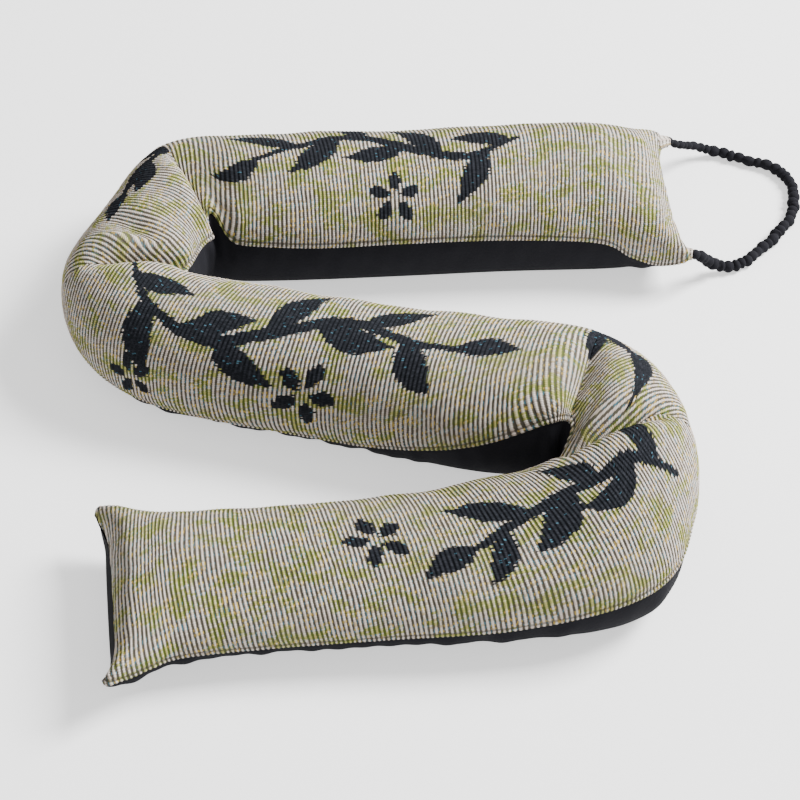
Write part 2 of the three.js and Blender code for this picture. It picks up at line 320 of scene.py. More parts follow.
@dataclass
class Tube:
    """The filled tube's skin, worked out from its sections."""

    sections: list[Section] = field(default_factory=lambda: [
        Section(151.5, 143.5, 184, 94, 23.3, 23.3, 0.05, 0, 5, -0.5),
        Section(150.4, 143.4, 184, 99, 27, 23.2, 4, -6, 5, -0.5),
        Section(148, 143, 184, 101, 32, 23.4, 9, -12, 4.5, -0.5),
        Section(142, 142, 184, 97, 40, 24.5, 18, -19, 3, -0.5),
        Section(133, 140, 186, 89, 50, 26, 28, -22, 1),
        Section(120, 139, 186.5, 85, 56, 26.5, 31, -12, 0.5),
        Section(104, 138, 187, 82, 60, 27, 34, 2, 0),
        Section(58, 135, 187, 80, 61, 28, 35, 6, 0),
        Section(8, 131, 186, 79, 61, 28, 35, 7, 0),
        Section(-37, 128, 187, 79, 62, 28, 35, 6, 0),
        Section(-74, 126, 189, 77, 62, 28, 35, 9, 0),
        Section(-100, 125, 204, 75, 60.5, 28, 34, 12, 0),
        Section(-112, 99.5, 239, 59, 62, 29, 33, 16, 0),
        Section(-120, 76, 246, 61, 63, 30, 33, 20, 0),
        Section(-125, 54, 272, 63, 62, 30, 33, 23, 0),
        Section(-113, 30, 315, 61, 61, 29, 33, 27, 0),
        Section(-85, 17, 337, 68, 60, 28, 32, 28, 0),
        Section(-37, 4, 343, 69, 60, 28, 32, 27, 0),
        Section(8, -8, 343, 72, 60, 28, 32, 19, 0),
        Section(53, -18, 343, 77, 61, 28, 32, -4, 0),
        Section(88, -23, 337, 73, 61, 28, 33, -26, 0),
        Section(106, -35, 310, 62, 59, 28, 33, -28, 0),
        Section(112, -55, 281, 58, 58, 29, 33, -14, 0),
        Section(109, -87, 240, 65, 59, 28, 33, 2, 0),
        Section(94, -110, 212, 86, 56, 26, 31, 7, 0),
        Section(52, -120, 194, 80, 50, 23, 28, -4, 0),
        Section(-2, -125, 188, 74, 44, 21, 25, -8, 0),
        Section(-52, -129, 187, 73, 42, 20, 24, -10, 0),
        Section(-89, -133, 187, 78, 41.5, 20, 22, -7, 0),
        Section(-102, -136.2, 187, 86, 41, 20.5, 19, -5, -2),
        Section(-111, -138.2, 187, 94, 39.5, 21, 17, -4, -4),
        Section(-116, -139.4, 187, 99, 35.5, 22, 13, -3, -5.5),
        Section(-119.5, -140.2, 187, 103, 31, 22.5, 8, -2, -6.5),
        Section(-122, -140.8, 187, 103.5, 27, 22.8, 3.5, -1, -7),
        Section(-123, -141, 187, 99, 23, 23, 0.05, 0, -7),
    ])
    creases: list[Crease] = field(default_factory=lambda: [
        Crease(-87.5, 94, 119, 53, 0.40, 8.5, 1.5, 2.2, 0.55, 1.0),
        Crease(-104, 55, 143, 52, 0.20, 9),
        Crease(-95, 57, 191, 60, 0.42, 8, 4.0, -2.0),
        Crease(84, -56, 72, 62, 0.40, 9, 3.5, 1.5),
        Crease(84, -75, 23, 64, 0.45, 8, 4.0, -2.5),
    ])
    lifts: list[SeamLift] = field(default_factory=lambda: [
        SeamLift(Seam.LEFT, 250, 24, 9),
    ])
    squareness: float = 2.1
    end_squareness: float = 1.5
    end_reach: float = 9.0
    bulge: float = 0.9
    thin_end: float = 1.5
    thin_fade: float = 4.0
    sag: float = 0.5
    spacing: float = 0.7
    curve_points: int = 4001
    outline_points: int = 181

    def __post_init__(self) -> None:
        """Runs one smooth curve through the sections and measures along it."""
        table = np.array([astuple(section) for section in self.sections], float)
        self.curve = spline(table, self.curve_points)
        self.measured = running(np.hypot(np.diff(self.curve[:, 0]), np.diff(self.curve[:, 1])))
        self.length = float(self.measured[-1])
        self.stations = np.linspace(0.0, self.length, round(self.length / self.spacing) + 1)

    def skin(self, panel: Panel, shares: Array) -> Array:
        """Points of one cloth's skin, at every station of the tube.

        Args:
            panel: Which of the two cloths.
            shares: Places across the cloth, as shares of its girth from its first seam.

        Returns:
            Stations by shares by three, in mm.
        """
        rows = np.stack([np.interp(self.stations, self.measured, c) for c in self.curve.T], axis=1)
        x, y, heading, width, top, middle, below, roll, hollow, lean = (c[:, None] for c in rows.T)
        left = sum(lift.at(self.stations) for lift in self.lifts if lift.seam is Seam.LEFT)
        right = 180.0 - sum(lift.at(self.stations) for lift in self.lifts if lift.seam is Seam.RIGHT)
        first, span = (left, right - left) if panel is Panel.FRONT else (right, 360.0 + left - right)
        round_shares = np.linspace(0.0, 1.0, self.outline_points)
        turn = np.atleast_1d(first)[:, None] + np.atleast_1d(span)[:, None] * round_shares
        angle = np.radians(roll + turn)
        cos, sin = np.cos(angle), np.sin(angle)
        from_end = np.minimum(self.stations, self.length - self.stations)[:, None]
        power = 2.0 / (self.squareness + self.end_squareness * np.exp(-from_end / self.end_reach))
        half = np.where(sin > 0, top - middle, below)
        across = np.sign(cos) * np.abs(cos) ** power * width / 2
        up = np.maximum(middle + np.sign(sin) * np.abs(sin) ** power * half, 0.0)
        girth = running(np.hypot(np.diff(across, axis=1), np.diff(up, axis=1)))
        places = girth[:, -1:] * shares[None]
        across, up = (
            np.stack([np.interp(*row) for row in zip(places, girth, values)])
            for values in (across, up)
        )
        turn = np.radians(heading)
        side = 2.0 * across / width
        reach = np.clip((middle - up) / below, 0.0, 1.0)
        reach = reach * np.clip((below - self.thin_end) / self.thin_fade, 0.0, 1.0)
        along = hollow * (1.0 - side**4) * (1.0 - self.bulge * reach)
        up = np.maximum(up + lean * side - self.sag * np.abs(hollow) * (1.0 - side**4), 0.0)
        plan_x = x - np.sin(turn) * across + np.cos(turn) * along
        plan_y = y + np.cos(turn) * across + np.sin(turn) * along
        if panel is Panel.FRONT:
            slope = (up[:, -1:] - up[:, :1]) / (across[:, -1:] - across[:, :1])
            rise = np.maximum(up - up[:, :1] - slope * (across - across[:, :1]), 0.0)
            taken = np.max([crease.share(plan_x, plan_y) for crease in self.creases], axis=0)
            up = up - rise * taken
        return np.stack([plan_x, plan_y, up], axis=-1)

    @staticmethod
    def outward(skin: Array) -> Array:
        """Directions out of a skin, from its points' neighbours."""
        along = np.gradient(skin, axis=0)
        across = np.gradient(skin, axis=1)
        return normalised(np.cross(across, along))


@dataclass(frozen=True)
class Fold:
    """Where a crease cuts off the ribs: spare length of the tapestry is tucked down into it.

    Near is roughly its place along the tube, and it is looked for within a reach of there. The
    inner seam is the one at its deep end, and it ends at a share of the way across. Beside is how
    far to one side of the crease's line it lies, in mm.
    """

    crease: Crease
    near: float
    inner: Seam
    ends: float
    beside: float = 0.0
    reach: float = 70.0

    def places(self, tube: "Tube", skin: Array) -> Array:
        """Place along the tube where each column of the skin crosses the crease's line."""
        _, aside = self.crease.from_line(skin[..., 0], skin[..., 1])
        aside = aside - self.beside
        stations = tube.stations
        close = np.abs(stations - self.near) < self.reach
        found = []
        for column in aside[close].T:
            turns = np.flatnonzero(column[1:] * column[:-1] <= 0.0)
            here = stations[close]
            if len(turns):
                best = turns[np.argmin(np.abs(here[turns] - self.near))]
            else:
                best = min(int(np.argmin(np.abs(column))), len(here) - 2)
            found.append(here[best])
        smooth = np.polynomial.Polynomial.fit(np.linspace(0.0, 1.0, len(found)), found, 6)
        return smooth(np.linspace(0.0, 1.0, len(found)))

    def beyond(self, shares: Array) -> Array:
        """How far shares lie past the fold's end, from below 0 in the fold to above."""
        side = 1.0 if self.inner is Seam.LEFT else -1.0
        return (shares - self.ends) * side


@dataclass(frozen=True)
class Slant:
    """How far the ribs slant from square across the tube, at one place along it, in degrees."""

    place: float
    left: float
    half: float
    right: float


@dataclass(frozen=True)
class Stretch:
    """How the ribs lie between two folds: straight in plan and square to a heading for a way
    after the first, then as their slants say. Where both hold, the slants are added."""

    heading: float
    straight: float
    slants: tuple[Slant, ...]

    def slopes(self, stations: Array, shares: Array) -> Array:
        """Tangents of the slants, at every place along and across."""
        table = np.array([astuple(slant) for slant in self.slants], float)
        left, half, right = (np.interp(stations, table[:, 0], table[:, k])[:, None] for k in (1, 2, 3))
        side = 2.0 * shares[None] - 1.0
        return np.tan(np.radians(
            half + (right - left) / 2 * side + ((left + right) / 2 - half) * side**2
        ))


@dataclass
class RibLines:
    """How the tapestry's length is laid along the tube, so that its ribs run as on the cloth."""

    tube: Tube
    pitch: float = 2.03
    steps_per_rib: int = 4
    release: float = 60.0
    turning: float = 36.0
    stretches: list[Stretch] = field(default_factory=lambda: [
        Stretch(187, -300, (
            Slant(0, 6, -13, 12), Slant(60, -3, -7, 13), Slant(100, -4, -2, 13),
            Slant(140, -2, 2, 13), Slant(200, -3, 3, 12), Slant(230, -8, 1, 6),
            Slant(255, -26, -10, 0),
        )),
        Stretch(242, 400, (Slant(250, 2, 10, 20), Slant(320, 0, 6, 14))),
        Stretch(336, 40, (
            Slant(350, 8, -4, 6), Slant(420, 5, -3, 8), Slant(500, 3, 0, 9), Slant(545, 0, 1, 14),
            Slant(570, 0, 6, 34),
        )),
        Stretch(309, 400, (Slant(560, 0, 0, 0), Slant(630, 0, 0, 0))),
        Stretch(204, 30, (
            Slant(640, -14, 0, 0), Slant(700, 5, 8, 6), Slant(760, 8, 8, 7), Slant(800, 12, 7, 3),
            Slant(860, 12, -1, -9), Slant(888, 12, -3, -12),
        )),
    ])

    def folds(self) -> list[Fold]:
        """The folds at the tube's four sharp creases."""
        creases = self.tube.creases
        return [
            Fold(creases[0], 251, Seam.LEFT, 0.78, -0.6),
            Fold(creases[2], 345, Seam.LEFT, 0.86),
            Fold(creases[3], 572, Seam.RIGHT, 0.42),
            Fold(creases[4], 622, Seam.RIGHT, 0.05),
        ]

    def lay(self, skin: Array, shares: Array) -> "LaidCloth":
        """Works out how much cloth lies before each place of the tube.

        Args:
            skin: The front cloth's skin, stations by shares by three.
            shares: Places across the cloth.

        Returns:
            The laid cloth.
        """
        stations = self.tube.stations
        total = self.measure(skin, shares, self.stretches[0], 0.0)
        hidden: list[Array] = []
        for fold, stretch in zip(self.folds(), self.stretches[1:]):
            ahead = self.measure(skin, shares, stretch, fold.near)
            place = fold.places(self.tube, skin)
            into = sample(total, stations, place[None])[0]
            out = sample(ahead, stations, place[None])[0]
            shift = float(np.interp(fold.ends, shares, into - out))
            width = 0.5 + self.turning * smoothstep(fold.beyond(shares), 0.0, 0.2)
            share = smoothstep((stations[:, None] - place[None]) / width[None], -1.0, 1.0)
            total = total + share * (ahead + shift - total)
            tucked = out + shift > into  # past the fold's end there is nothing to tuck
            crossing = sample(total, stations, place[None])[0]
            into, out = (np.where(tucked, end, crossing) for end in (into, out + shift))
            hidden.append(np.stack([place, into, out]))
        return LaidCloth(self, shares, total, hidden)

    def measure(self, skin: Array, shares: Array, stretch: Stretch, start: float) -> Array:
        """Length of cloth up to every place of the tube, in one stretch's lay.

        Args:
            skin: The front cloth's skin.
            shares: Places across the cloth.
            stretch: The ribs' lay.
            start: Where the stretch starts along the tube.

        Returns:
            Lengths, stations by shares, in mm.
        """
        tube, stations = self.tube, self.tube.stations
        x, y, heading = (np.interp(stations, tube.measured, tube.curve[:, k]) for k in range(3))
        turn = math.radians(stretch.heading)
        held = start + stretch.straight
        straight = 1.0 - smoothstep(stations, held, held + self.release)
        rate = 1.0 + straight * (np.maximum(np.cos(np.radians(heading) - turn), 0.3) - 1.0)
        middle = running((rate[1:] + rate[:-1]) / 2 * np.diff(stations))
        beside = (skin[..., 0] - x[:, None]) * math.cos(turn)
        beside = beside + (skin[..., 1] - y[:, None]) * math.sin(turn)
        slopes = stretch.slopes(stations, shares)
        steps = np.linalg.norm(np.diff(skin, axis=1), axis=2)
        drift = running((slopes[:, 1:] + slopes[:, :-1]) / 2 * steps)
        centre = int(np.argmin(np.abs(shares - 0.5)))
        return middle[:, None] + straight[:, None] * beside - drift + drift[:, centre:centre + 1]


def sample(table: Array, rows: Array, places: Array) -> Array:
    """Reads each column of a table at its own column of places.

    Args:
        table: Values as rows by columns, and any further axes.
        rows: The place of each row.
        places: Places to read, as many rows as wanted by the same columns.

    Returns:
        The values, places by columns by the further axes.
    """
    index = np.clip(np.searchsorted(rows, places, side="right") - 1, 0, len(rows) - 2)
    share = np.clip((places - rows[index]) / (rows[index + 1] - rows[index]), 0.0, 1.0)
    column = np.broadcast_to(np.arange(places.shape[1])[None], places.shape)
    share = share.reshape(share.shape + (1,) * (table.ndim - 2))
    return table[index, column] * (1.0 - share) + table[index + 1, column] * share


@dataclass
class LaidCloth:
    """The tapestry laid along the tube: how much cloth lies before each place of the tube, and
    the cloth tucked into each fold."""

    lines: RibLines
    shares: Array
    cloth: Array
    hidden: list[Array]
    tuck: float = 8.0
    turned_in: float = 5.0

    def rings(self) -> Array:
        """Distances along the cloth of the mesh's rings, a few to each rib."""
        step = self.lines.pitch / self.lines.steps_per_rib
        first = math.floor(float(self.cloth[0].min()) / step) - 1
        last = math.ceil(float(self.cloth[-1].max()) / step) + 1
        return np.arange(first, last + 1) * step

    def along(self) -> Array:
        """Place along the tube of each ring, at each column."""
        rings, stations = self.rings(), self.lines.tube.stations
        places = np.empty((len(rings), len(self.shares)))
        for j in range(len(self.shares)):
            cloth, place = self.cloth[:, j], stations
            for stop, into, out in (fold[:, j] for fold in self.hidden):
                before, after = place < stop, place > stop
                low = np.minimum(cloth[before], into)
                high = np.maximum(cloth[after], out)
                cloth = np.concatenate([low, [into, out], high])
                place = np.concatenate([place[before], [stop, stop], place[after]])
            places[:, j] = np.interp(rings, np.maximum.accumulate(cloth), place)
        return places

    def folded(self) -> tuple[Array, Array]:
        """Length of cloth from each point up to where it comes out of its fold, and which wall
        of the fold it is in: -1, or 1 for the one further along."""
        rings = self.rings()[:, None]
        inside = np.zeros((len(rings), len(self.shares)))
        wall = np.zeros_like(inside)
        for _, into, out in self.hidden:
            spare = np.maximum(np.minimum(rings - into[None], out[None] - rings), 0.0)
            inside += spare
            wall += np.sign(rings - (into + out)[None] / 2) * (spare > 0.0)
        return inside, wall

    def past_ends(self) -> Array:
        """Length of cloth past the tube's ends, below 0 past the first."""
        rings = self.rings()[:, None]
        return np.minimum(rings - self.cloth[:1], 0.0) + np.maximum(rings - self.cloth[-1:], 0.0)


# --- Shader nodes -------------------------------------------------------------------------------


@dataclass(frozen=True)
class Value:
    """A number that varies over a surface: one socket, with the usual operators."""

    shader: "Shader"
    socket: Any

    def _math(self, operation: str, *values: Any) -> "Value":
        """A Math node on these values."""
        node = self.shader.node("ShaderNodeMath", {"operation": operation}, dict(enumerate(values)))
        return Value(self.shader, node.outputs[0])

    def __add__(self, other: Any) -> "Value":
        """Sum."""
        return self._math("ADD", self, other)

    __radd__ = __add__

    def __sub__(self, other: Any) -> "Value":
        """Difference."""
        return self._math("SUBTRACT", self, other)

    def __rsub__(self, other: Any) -> "Value":
        """Difference, from a number."""
        return self._math("SUBTRACT", other, self)

    def __mul__(self, other: Any) -> "Value":
        """Product."""
        return self._math("MULTIPLY", self, other)

    __rmul__ = __mul__

    def __truediv__(self, other: Any) -> "Value":
        """Quotient."""
        return self._math("DIVIDE", self, other)

    def __gt__(self, other: Any) -> "Value":
        """1 where greater, else 0."""
        return self._math("GREATER_THAN", self, other)

    def __lt__(self, other: Any) -> "Value":
        """1 where less, else 0."""
        return self._math("LESS_THAN", self, other)

    def floor(self) -> "Value":
        """The whole number below."""
        return self._math("FLOOR", self)

    def fraction(self) -> "Value":
        """What is left over the whole number below."""
        return self._math("FRACT", self)

    def absolute(self) -> "Value":
        """Size without sign."""
        return self._math("ABSOLUTE", self)

    def cosine(self) -> "Value":
        """Cosine of an angle in radians."""
        return self._math("COSINE", self)

    def rise(self, low: float, high: float) -> "Value":
        """Smooth step from 0 at low to 1 at high."""
        settings = {"interpolation_type": "SMOOTHSTEP"}
        node = self.shader.node("ShaderNodeMapRange", settings, {0: self, 1: low, 2: high})
        return Value(self.shader, node.outputs[0])


class Shader:
    """Builds one material's nodes round a Principled surface."""

    def __init__(self, name: str) -> None:
        """Starts the material with only its surface."""
        self.material = bpy.data.materials.new(name)
        self.material.use_nodes = True
        self.tree = self.material.node_tree
        self.tree.nodes.clear()
        self.surface = self.node("ShaderNodeBsdfPrincipled")
        self.node("ShaderNodeOutputMaterial", sockets={"Surface": self.surface.outputs[0]})

    def node(self, kind: str, settings: dict | None = None, sockets: dict | None = None) -> Any:
        """Adds one node.

        Args:
            kind: The node's type.
            settings: Its own settings, set first.
            sockets: Values or links, by the input's name or number.

        Returns:
            The node.
        """
        node = self.tree.nodes.new(kind)
        for name, setting in (settings or {}).items():
            setattr(node, name, setting)
        for key, value in (sockets or {}).items():
            self.put(node.inputs[key], value)
        return node

    def put(self, socket: Any, value: Any) -> None:
        """Links a socket to a value that varies, or sets it to one that doesn't."""
        source = value.socket if isinstance(value, Value) else value
        if isinstance(source, bpy.types.NodeSocket):
            self.tree.links.new(source, socket)
        elif isinstance(source, tuple) and socket.type == "RGBA":
            socket.default_value = (*source, 1.0)
        else:
            socket.default_value = source

    def attribute(self, name: str) -> Value:
        """A number stored on the mesh's points."""
        node = self.node("ShaderNodeAttribute", {"attribute_name": name})
        return Value(self, node.outputs["Fac"])

    def place(self, x: Any, y: Any, z: Any = 0.0) -> Any:
        """A vector from three values."""
        return self.node("ShaderNodeCombineXYZ", sockets={0: x, 1: y, 2: z}).outputs[0]

    def noise(self, where: Any, scale: float, detail: float = 2.0) -> Value:
        """Smooth noise, from 0 to 1."""
        sockets = {"Vector": where, "Scale": scale, "Detail": detail}
        return Value(self, self.node("ShaderNodeTexNoise", sockets=sockets).outputs["Fac"])

    def chance(self, where: Any) -> Value:
        """One random number, from 0 to 1, for each place."""
        node = self.node("ShaderNodeTexWhiteNoise", {"noise_dimensions": "3D"}, {"Vector": where})
        return Value(self, node.outputs["Value"])

    def mixed(self, share: Any, first: Any, second: Any) -> Any:
        """A colour between two, by share."""
        settings = {"data_type": "RGBA", "blend_type": "MIX"}
        node = self.node("ShaderNodeMix", settings, {0: share, 6: first, 7: second})
        return node.outputs[2]

    def finish(self, colour: Any, roughness: Any, height: Any, relief: float) -> bpy.types.Material:
        """Feeds the surface and returns the material.

        Args:
            colour: Base colour.
            roughness: Roughness.
            height: Bump height, from 0 to 1.
            relief: What a height of 1 stands for, in mm.

        Returns:
            The material.
        """
        sockets = {"Height": height, "Distance": relief * METRES, "Strength": 1.0}
        bump = self.node("ShaderNodeBump", sockets=sockets)
        self.put(self.surface.inputs["Specular IOR Level"], MATT)
        self.put(self.surface.inputs["Base Color"], colour)
        self.put(self.surface.inputs["Roughness"], roughness)
        self.put(self.surface.inputs["Normal"], bump.outputs[0])
        return self.material


@dataclass(frozen=True)
class Tapestry:
    """The front's ribbed weave: pale weft ribs and dark warp grooves, mottled with green, and near-black
    sprigs, with painted shade on the ribs' flanks and in the stitch dent."""

    name: str = "tapestry_weave"
    pick: float = 0.95
    stitches: float = 2.8
    cream: Colour = (0.52, 0.475, 0.43)
    rose: Colour = (0.40, 0.335, 0.30)
    shade: Colour = (0.20, 0.17, 0.13)
    warp: Colour = (0.052, 0.046, 0.036)
    warp_teal: Colour = (0.03, 0.09, 0.12)
    warp_gold: Colour = (0.27, 0.19, 0.05)
    leaf: Colour = (0.285, 0.27, 0.078)
    leaf_pale: Colour = (0.415, 0.385, 0.19)
    # dark green warp of the green patches; also the painted shade of the green ribs' flanks
    moss_and_green_shade: Colour = (0.05, 0.065, 0.012)
    black: Colour = (0.006, 0.007, 0.009)
    black_worn: Colour = (0.014, 0.015, 0.019)
    black_glint: Colour = (0.035, 0.085, 0.115)
    dust: Colour = (0.20, 0.18, 0.12)

    def material(self) -> bpy.types.Material:
        """Builds the material."""
        shader = Shader(self.name)
        rib, across = shader.attribute("rib"), shader.attribute("across")
        row, part = rib.floor(), rib.fraction()
        picks = across / self.pick + 0.5 * shader.chance(shader.place(row, 0.0, 7.0)) + 0.45 * part
        pick = picks.floor()
        first = shader.chance(shader.place(row, pick, 1.0))
        second = shader.chance(shader.place(row, pick, 2.0))
        third = shader.chance(shader.place(row, pick, 3.0))
        crest = 0.5 - 0.5 * (rib * (2.0 * math.pi)).cosine()
        bead = 0.5 - 0.5 * (picks * (2.0 * math.pi)).cosine()
        body = (crest + 0.46 * third - 0.23 + 0.24 * bead - 0.12).rise(0.32, 0.66)
        ground = shader.noise(shader.place(row * 0.16, across * 0.105), 1.0, 1.0)
        blotch = (ground + 0.15 * first).rise(0.59, 0.67)
        yarn = shader.mixed(first.rise(0.2, 0.9), self.cream, self.rose)
        green = shader.mixed((second > 0.62), self.leaf, self.leaf_pale)
        yarn = shader.mixed(blotch * (0.35 + 0.6 * (third > 0.25)), yarn, green)
        yarn = shader.mixed((second > 0.94) * 0.7, yarn, self.warp_gold)
        # Painted shade: the ribs' flanks, away from their crests, are darkened towards the shade colour,
        # or towards moss on the green patches.
        low = (1.0 - (crest + 0.5 * bead + 0.3 * first - 0.15).rise(0.55, 1.3)) * 0.8
        yarn = shader.mixed(low, yarn, shader.mixed(blotch, self.shade, self.moss_and_green_shade))
        warp = shader.mixed((third > 0.84), self.warp, self.warp_teal)
        warp = shader.mixed((third < 0.10), warp, self.warp_gold)
        warp = shader.mixed(blotch * (first > 0.3), warp, self.moss_and_green_shade)
        colour = shader.mixed(body, warp, yarn)
        wear = shader.noise(shader.place(rib * 0.03, across * 0.02), 1.0, 2.0)
        colour = shader.mixed(wear.rise(0.45, 0.8) * 0.22, colour, self.dust)
        ragged = shader.attribute("motif") + 1.3 * (second - 0.5)
        speck = shader.chance(shader.place((rib * 2.0).floor(), (across * 2.2).floor(), 5.0))
        dark = shader.mixed(speck.rise(0.3, 1.0), self.black, self.black_worn)
        dark = shader.mixed((speck > 0.984), dark, self.black_glint)
        colour = shader.mixed(ragged.rise(-0.15, 0.15), colour, dark)
        # Dark line along the topstitching: partly the dark stitch thread, partly painted shade in the
        # stitch dent.
        stitch_thread_and_dent_shade = 1.0 - ((shader.attribute("inset") - self.stitches).absolute()).rise(0.25, 0.75)
        colour = shader.mixed(stitch_thread_and_dent_shade * 0.65, colour, self.warp)
        height = crest * (0.7 + 0.3 * bead)
        return shader.finish(colour, 0.9, height, 0.3)


@dataclass(frozen=True)
class BlackWeave:
    """The back's plain black cloth."""

    name: str = "black_weave"
    colour: Colour = (0.008, 0.008, 0.010)

    def material(self) -> bpy.types.Material:
        """Builds the material."""
        shader = Shader(self.name)
        along, across = shader.attribute("along"), shader.attribute("across")
        threads = shader.noise(shader.place(along, across), 0.8)
        return shader.finish(self.colour, 0.85, threads, 0.2)


# --- The woven pattern --------------------------------------------------------------------------


@dataclass(frozen=True)
class Brush:
    """A woven stroke: a line on the flat cloth, with its breadth at each point, in mm."""

    line: Array
    breadth: Array

    def inside(self, along: Array, across: Array, depth: Array) -> None:
        """Raises the depth inside the pattern where this stroke covers the cloth.

        Args:
            along: Places along the cloth.
            across: Places across it.
            depth: Depth inside the pattern so far, changed in place.
        """
        margin = float(self.breadth.max())
        low, high = self.line.min(axis=0) - margin, self.line.max(axis=0) + margin
        close = (along > low[0]) & (along < high[0]) & (across > low[1]) & (across < high[1])
        x, y, best = along[close], across[close], depth[close]
        line, breadth = self.line, self.breadth
        for start, end, wide, thin in zip(line[:-1], line[1:], breadth[:-1], breadth[1:]):
            step = end - start
            share = (x - start[0]) * step[0] + (y - start[1]) * step[1]
            share = np.clip(share / max(float(step @ step), 1e-9), 0.0, 1.0)
            away = np.hypot(x - start[0] - share * step[0], y - start[1] - share * step[1])
            best = np.maximum(best, (wide + (thin - wide) * share) / 2 - away)
        depth[close] = best


@dataclass(frozen=True)
class Leaf:
    """A leaf of a sprig: where it springs from the stem, to which side, and its size."""

    stem_share: float
    side: int
    length: float
    breadth: float
    spread: float = 48.0
    curl: float = 26.0
    root_breadth: float = 1.6
    tip_breadth: float = 0.4

    def brush(self, root: Array, stem_turn: float) -> Brush:
        """The leaf's stroke, from its root on the stem."""
        t = np.linspace(0.0, 1.0, 9)
        turn = stem_turn + math.radians(self.side) * (self.spread - self.curl * t)
        step = self.length / (len(t) - 1)
        line = root + step * np.concatenate(
            [[[0.0, 0.0]], np.cumsum(np.stack([np.cos(turn), np.sin(turn)], axis=1)[:-1], axis=0)]
        )
        swell = (self.breadth - self.root_breadth) * np.sin(math.pi * t**0.8) ** 1.2
        return Brush(line, np.maximum(self.root_breadth + swell - 1.2 * t, self.tip_breadth))


@dataclass(frozen=True)
class Flower:
    """A small open flower: its place on the flat cloth, petals and size."""

    along: float
    across: float
    petals: int
    size: float
    turn: float = 0.0

    def brushes(self) -> list[Brush]:
        """The petals' strokes, round a bare eye."""
        strokes = []
        for k in range(self.petals):
            turn = math.radians(self.turn) + 2.0 * math.pi * k / self.petals
            ray = np.array([math.cos(turn), math.sin(turn)])
            t = np.linspace(0.28, 0.78, 4)[:, None]
            line = np.array([self.along, self.across]) + ray * t * self.size
            strokes.append(Brush(line, self.size * np.array([0.16, 0.36, 0.46, 0.34])))
        return strokes


@dataclass(frozen=True)
class Sprig:
    """A leafy sprig: a stem through points on the flat cloth, with leaves and flowers."""

    stem: tuple[tuple[float, float], ...]
    leaves: tuple[Leaf, ...]
    flowers: tuple[Flower, ...] = ()
    thick: float = 6.4
    thin: float = 2.2

    def brushes(self) -> list[Brush]:
        """All the sprig's strokes."""
        line = smooth_line(self.stem, 25)
        t = np.linspace(0.0, 1.0, len(line))
        strokes = [Brush(line, self.thin + (self.thick - self.thin) * np.sin(math.pi * t) ** 0.8)]
        ahead = np.gradient(line, axis=0)
        for leaf in self.leaves:
            root = np.array([np.interp(leaf.stem_share, t, axis) for axis in line.T])
            way = [np.interp(leaf.stem_share, t, axis) for axis in ahead.T]
            strokes.append(leaf.brush(root, math.atan2(way[1], way[0])))
        for flower in self.flowers:
            strokes.extend(flower.brushes())
        return strokes


@dataclass(frozen=True)
class LeafPattern:
    """The dark sprigs woven into the front, in mm along the cloth and across from its left seam."""

    sprigs: tuple[Sprig, ...] = (
        Sprig(
            ((84, 60), (110, 46), (138, 52), (166, 66), (194, 60), (222, 44)),
            (
                Leaf(0.03, 1, 32, 12), Leaf(0.14, -1, 34, 13), Leaf(0.30, 1, 36, 14),
                Leaf(0.42, -1, 32, 12), Leaf(0.56, 1, 30, 12), Leaf(0.66, -1, 38, 14),
                Leaf(0.80, 1, 34, 13), Leaf(0.97, -1, 26, 11, 14),
            ),
            (Flower(150, 24, 5, 14, 20),),
        ),
        Sprig(
            ((270, 46), (292, 58), (318, 54)),
            (Leaf(0.1, 1, 26, 11), Leaf(0.45, -1, 30, 12), Leaf(0.95, 1, 24, 10, 12)),
        ),
        Sprig(
            ((402, 30), (428, 50), (458, 60), (488, 50), (518, 40), (548, 52), (576, 62)),
            (
                Leaf(0.05, -1, 32, 12), Leaf(0.13, 1, 38, 15), Leaf(0.27, -1, 34, 14),
                Leaf(0.36, 1, 34, 13), Leaf(0.48, -1, 38, 15), Leaf(0.60, 1, 40, 15),
                Leaf(0.71, -1, 32, 13), Leaf(0.83, 1, 36, 14), Leaf(0.97, -1, 30, 12, 14),
            ),
            (Flower(505, 78, 5, 16, 8), Flower(424, 84, 5, 13, 40)),
        ),
        Sprig(
            ((612, 30), (630, 44), (652, 52)),
            (Leaf(0.1, -1, 26, 11), Leaf(0.4, 1, 34, 13), Leaf(0.9, -1, 28, 12, 20)),
        ),
        Sprig(
            ((722, 26), (742, 48), (768, 60), (798, 52), (826, 38)),
            (
                Leaf(0.10, 1, 34, 13), Leaf(0.24, -1, 36, 14), Leaf(0.42, 1, 30, 12),
                Leaf(0.54, -1, 38, 15), Leaf(0.72, 1, 36, 14), Leaf(0.84, -1, 28, 11),
                Leaf(0.98, 1, 26, 11, 12),
            ),
            (Flower(862, 48, 5, 15, 0),),
        ),
    )

    def depth(self, along: Array, across: Array) -> Array:
        """Depth inside the pattern's strokes, in mm, at places on the flat cloth."""
        flat_along, flat_across = along.ravel(), across.ravel()
        depth = np.full(flat_along.shape, BARE)
        for sprig in self.sprigs:
            for brush in sprig.brushes():
                brush.inside(flat_along, flat_across, depth)
        return depth.reshape(along.shape)


# --- The two cloths -----------------------------------------------------------------------------


